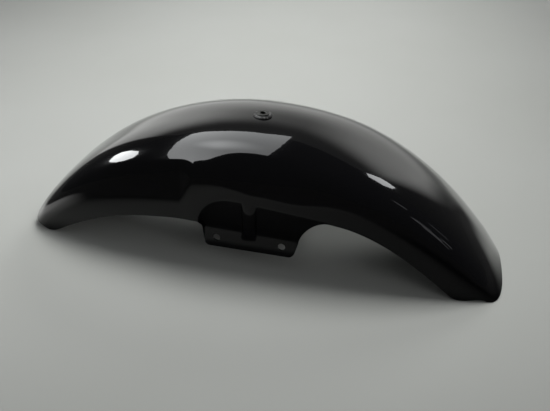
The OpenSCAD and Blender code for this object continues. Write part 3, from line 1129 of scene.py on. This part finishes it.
# %% [markdown]
# The studio round the paper is dim, and the paint shows that: its sides are almost black.
# So the world gives a little light, is darker still for reflections, and past the edge of
# the paper it shows the lens a pale grey.

# %% World
ROOM_LIGHT, ROOM_MIRRORED, ROOM_SEEN = 0.18, 0.04, 0.24

world = bpy.data.worlds.new("dim_room")
bpy.context.scene.world = world
world.use_nodes = True
tree = world.node_tree
sky = tree.nodes["Background"]
sky.inputs["Color"].default_value = (0.9, 0.92, 0.95, 1)
ray = node(tree, "ShaderNodeLightPath")
dim = spread(tree, ray.outputs["Is Glossy Ray"], ROOM_LIGHT, ROOM_MIRRORED)
seen = times(tree, ray.outputs["Is Camera Ray"], ROOM_SEEN)
tree.links.new(add(tree, dim, seen), sky.inputs["Strength"])
print("light from all round:", ROOM_LIGHT, "and in the paint", ROOM_MIRRORED)


# %% [markdown]
# ## Highlights
#
# The crown mirrors three bright panels: a wide one overhead to the left and two small ones
# near the ends. Lamps of that shape would cast light as well. Each is a flat glowing card
# that only reflections see, so it adds no light of its own.
#
# What can be read is the outline of each highlight in the photograph. Placing the cards by
# trial is slow, because a curved mirror bends every edge. So each place that was read
# is followed from the lens to the paint, and on from there as a mirror sends it, up to the
# height of the cards. Places are counted from the top left corner, across and then down.

# %% Follow the lens off the paint
PICTURE_W, PICTURE_H = 550, 411
CARD_Z = 1900
TOUCHING = 1e-7


def lens_ray(across, down):
    scale = SENSOR_WIDTH / LENS / PICTURE_W
    aim = Vector(((across - PICTURE_W / 2) * scale, (PICTURE_H / 2 - down) * scale, -1))
    return (camera.rotation_quaternion @ aim).normalized()


def paint_normal(place, face):
    mesh, total = guard.data, Vector()
    for loop in mesh.polygons[face].loop_indices:
        gap = mesh.vertices[mesh.loops[loop].vertex_index].co - place
        total += mesh.corner_normals[loop].vector / (TOUCHING + gap.length_squared)
    return total.normalized()


def place_on_card(across, down):
    ray = lens_ray(across, down)
    found, place, flat_normal, face = guard.ray_cast(camera.location, ray)
    normal = paint_normal(place, face)
    onward = ray - 2 * ray.dot(normal) * normal
    return place + onward * ((CARD_Z * MM - place.z) / onward.z)


bpy.context.view_layer.update()
middle = place_on_card(PICTURE_W / 2, 140)
print("the crown's middle mirrors a place at, mm:", [round(v / MM) for v in middle])

# %% Glowing card seen only in the paint
def glow_card(name, outline, strength):
    mesh = bpy.data.meshes.new(name)
    corners = [place_on_card(*spot) for spot in outline]
    mesh.from_pydata(corners, [], [range(len(corners))])
    glow = bpy.data.materials.new(name)
    glow.use_nodes = True
    tree = glow.node_tree
    tree.nodes.clear()
    light = node(tree, "ShaderNodeEmission", Strength=strength)
    light.inputs["Color"].default_value = (0.97, 0.99, 1, 1)
    out = node(tree, "ShaderNodeOutputMaterial")
    tree.links.new(light.outputs["Emission"], out.inputs["Surface"])
    mesh.materials.append(glow)
    card = add_to_scene(name, mesh)
    card.visible_camera = card.visible_diffuse = card.visible_shadow = False
    card.visible_transmission = card.visible_volume_scatter = False
    print(name, "with", len(corners), "corners")
    return card


# %% Wide card overhead
WIDE_TOP = [(192, 134), (205, 132), (240, 131.5), (265, 134), (292, 137)]
WIDE_RIGHT = [(286, 142), (280, 147), (274, 151.5), (268, 156)]
WIDE_BOTTOM = [(255, 154), (238, 153), (225, 154.5), (213, 158), (205, 160.3), (195, 161)]
WIDE_LOW_CORNER = [(192.5, 163.25), (170, 158), (168, 155)]
WIDE_LEFT = [(170, 151), (173, 147), (177, 143), (182, 139), (187, 136.5)]

wide_card = glow_card(
    "window_card", WIDE_TOP + WIDE_RIGHT + WIDE_BOTTOM + WIDE_LOW_CORNER + WIDE_LEFT, 1)

# %% Two small cards near the ends
RIGHT_TOP = [(366, 173.5), (372, 174.5), (380, 178), (390, 183.5), (396, 188)]
RIGHT_BOTTOM = [(392, 188.5), (384, 186), (376, 181.5), (369, 177)]
LEFT_TOP = [(109, 161), (115, 156), (122, 152.5), (131, 150.5), (139, 151)]
LEFT_BOTTOM = [(138, 154), (133, 157.5), (125, 160.5), (116, 162.5), (110, 162.5)]

glow_card("right_card", RIGHT_TOP + RIGHT_BOTTOM, 4.8)
glow_card("left_card", LEFT_TOP + LEFT_BOTTOM, 12)

# %% [markdown]
# The wide card is brighter to the left, with a brighter spot where its own lamp sits behind
# it, so its strength comes from two soft steps over its place.

# %% Brightness of the wide card
SPOT = (222, 145)

spot_at = place_on_card(*SPOT)

tree = wide_card.data.materials[0].node_tree
place = object_place(tree)
x, y, z = x_y_z(tree, place)
spot_gap = node(tree, "ShaderNodeVectorMath", operation="DISTANCE")
spot_gap.inputs[1].default_value = spot_at
tree.links.new(place, spot_gap.inputs[0])
level = times(
    tree, step(tree, x, -2.0, 0.0, 4.2, 2.3),
    step(tree, spot_gap.outputs["Value"], 0.05, 0.6, 1.8, 1.0))
tree.links.new(level, tree.nodes["Emission"].inputs["Strength"])
print("its own lamp sits at, m:", [round(v, 3) for v in spot_at])


# %% [markdown]
# ## Colour view
#
# The Standard view shows a colour about as it is written.

# %% Colour view
bpy.context.scene.view_settings.view_transform = "Standard"
